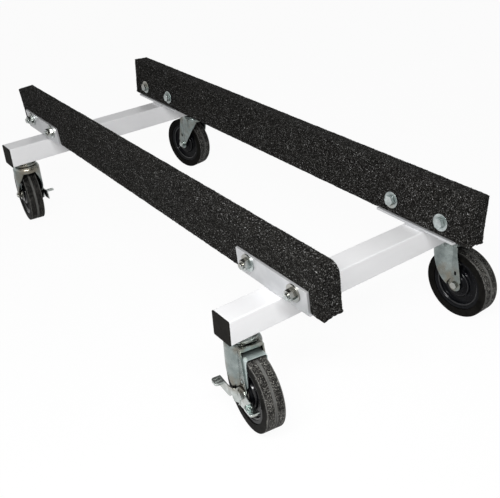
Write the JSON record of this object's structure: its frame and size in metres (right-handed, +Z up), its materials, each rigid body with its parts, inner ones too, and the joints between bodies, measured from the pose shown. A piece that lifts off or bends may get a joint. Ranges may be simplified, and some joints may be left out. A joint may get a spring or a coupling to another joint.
{
  "type": "personal watercraft dolly",
  "caption": "Low dolly with two leaning carpeted bunks on aluminium cross tubes and swivel casters, the right-hand ones with foot brakes, for moving a personal watercraft.",
  "frame": {"origin": "floor level under the middle of the dolly, halfway between the two cross tubes", "axes": "+X towards the front, along the bunks; +Y towards the left side, along the cross tubes; +Z up"},
  "size_m": [1.283, 0.6371, 0.3414],
  "materials": {
    "tube_aluminium": "satin extruded",
    "bracket_aluminium": "mill finish",
    "cap_plastic": "fine matte grain",
    "bunk_carpet": "short marine carpet pile",
    "bunk_wood": "sawn softwood",
    "zinc_hardware": "bright zinc plate",
    "zinc_pressing": "zinc-plated pressed steel",
    "ball_steel": "polished",
    "hub_plastic": "moulded",
    "tyre_rubber": "dusty rubber",
    "bearing_nylon": "natural nylon"
  },
  "bodies": {
    "frame": {"front_cross_tube": "tube_aluminium", "rear_cross_tube": "tube_aluminium", "right_bunk_board": "bunk_wood", "left_bunk_board": "bunk_wood", "right_bunk_carpet": "bunk_carpet", "left_bunk_carpet": "bunk_carpet", "bunk_bolts": "zinc_hardware", "bunk_washers": "zinc_hardware", "bunk_nuts": "zinc_hardware", "carpet_staples": "zinc_hardware", "swivel_stems": "zinc_hardware", "stem_washers": "zinc_hardware", "stem_nuts": "zinc_hardware", "upper_races": "zinc_pressing", "race_balls": "ball_steel", "retaining_cups": "zinc_pressing", "front_right_end_cap": "cap_plastic", "front_right_bracket": "bracket_aluminium", "rear_right_end_cap": "cap_plastic", "rear_right_bracket": "bracket_aluminium", "front_left_end_cap": "cap_plastic", "front_left_bracket": "bracket_aluminium", "rear_left_end_cap": "cap_plastic", "rear_left_bracket": "bracket_aluminium"},
    "front_right_swivel_yoke": {"front_right_fork": "zinc_pressing", "front_right_axle_bolt": "zinc_hardware", "front_right_axle_nut": "zinc_hardware", "front_right_axle_sleeve": "zinc_hardware", "front_right_brake_washer": "zinc_hardware", "front_right_brake_strap": "zinc_pressing"},
    "front_right_wheel": {"front_right_wheel_bearing": "bearing_nylon", "front_right_wheel_hub": "hub_plastic", "front_right_tyre": "tyre_rubber"},
    "front_right_brake_pedal": {"front_right_brake_lever": "zinc_pressing"},
    "rear_right_swivel_yoke": {"rear_right_fork": "zinc_pressing", "rear_right_axle_bolt": "zinc_hardware", "rear_right_axle_nut": "zinc_hardware", "rear_right_axle_sleeve": "zinc_hardware", "rear_right_brake_washer": "zinc_hardware", "rear_right_brake_strap": "zinc_pressing"},
    "rear_right_wheel": {"rear_right_wheel_bearing": "bearing_nylon", "rear_right_wheel_hub": "hub_plastic", "rear_right_tyre": "tyre_rubber"},
    "rear_right_brake_pedal": {"rear_right_brake_lever": "zinc_pressing"},
    "front_left_swivel_yoke": {"front_left_fork": "zinc_pressing", "front_left_axle_bolt": "zinc_hardware", "front_left_axle_nut": "zinc_hardware", "front_left_axle_sleeve": "zinc_hardware"},
    "front_left_wheel": {"front_left_wheel_bearing": "bearing_nylon", "front_left_wheel_hub": "hub_plastic", "front_left_tyre": "tyre_rubber"},
    "rear_left_swivel_yoke": {"rear_left_fork": "zinc_pressing", "rear_left_axle_bolt": "zinc_hardware", "rear_left_axle_nut": "zinc_hardware", "rear_left_axle_sleeve": "zinc_hardware"},
    "rear_left_wheel": {"rear_left_wheel_bearing": "bearing_nylon", "rear_left_wheel_hub": "hub_plastic", "rear_left_tyre": "tyre_rubber"}
  },
  "joints": [
    {"name": "front_right_swivel", "type": "hinge", "parent": "frame", "child": "front_right_swivel_yoke", "pos_m": [0.50935, -0.2701, 0.1842], "axis": [0, 0, 1], "continuous": true},
    {"name": "front_right_roll", "type": "hinge", "parent": "front_right_swivel_yoke", "child": "front_right_wheel", "pos_m": [0.54426, -0.27457, 0.0762], "axis": [0.1271, 0.9919, 0], "continuous": true},
    {"name": "front_right_brake", "type": "hinge", "parent": "front_right_swivel_yoke", "child": "front_right_brake_pedal", "pos_m": [0.54426, -0.27457, 0.0762], "axis": [0.1271, 0.9919, 0], "range_deg": [0, 20]},
    {"name": "rear_right_swivel", "type": "hinge", "parent": "frame", "child": "rear_right_swivel_yoke", "pos_m": [-0.50935, -0.2701, 0.1842], "axis": [0, 0, 1], "continuous": true},
    {"name": "rear_right_roll", "type": "hinge", "parent": "rear_right_swivel_yoke", "child": "rear_right_wheel", "pos_m": [-0.54432, -0.26611, 0.0762], "axis": [-0.1132, -0.9936, 0], "continuous": true},
    {"name": "rear_right_brake", "type": "hinge", "parent": "rear_right_swivel_yoke", "child": "rear_right_brake_pedal", "pos_m": [-0.54432, -0.26611, 0.0762], "axis": [-0.1132, -0.9936, 0], "range_deg": [-17, 3]},
    {"name": "front_left_swivel", "type": "hinge", "parent": "frame", "child": "front_left_swivel_yoke", "pos_m": [0.50935, 0.2701, 0.1842], "axis": [0, 0, 1], "continuous": true},
    {"name": "front_left_roll", "type": "hinge", "parent": "front_left_swivel_yoke", "child": "front_left_wheel", "pos_m": [0.54452, 0.27151, 0.0762], "axis": [-0.0401, 0.9992, 0], "continuous": true},
    {"name": "rear_left_swivel", "type": "hinge", "parent": "frame", "child": "rear_left_swivel_yoke", "pos_m": [-0.50935, 0.2701, 0.1842], "axis": [0, 0, 1], "continuous": true},
    {"name": "rear_left_roll", "type": "hinge", "parent": "rear_left_swivel_yoke", "child": "rear_left_wheel", "pos_m": [-0.54405, 0.26417, 0.0762], "axis": [0.1685, -0.9857, 0], "continuous": true}
  ]
}
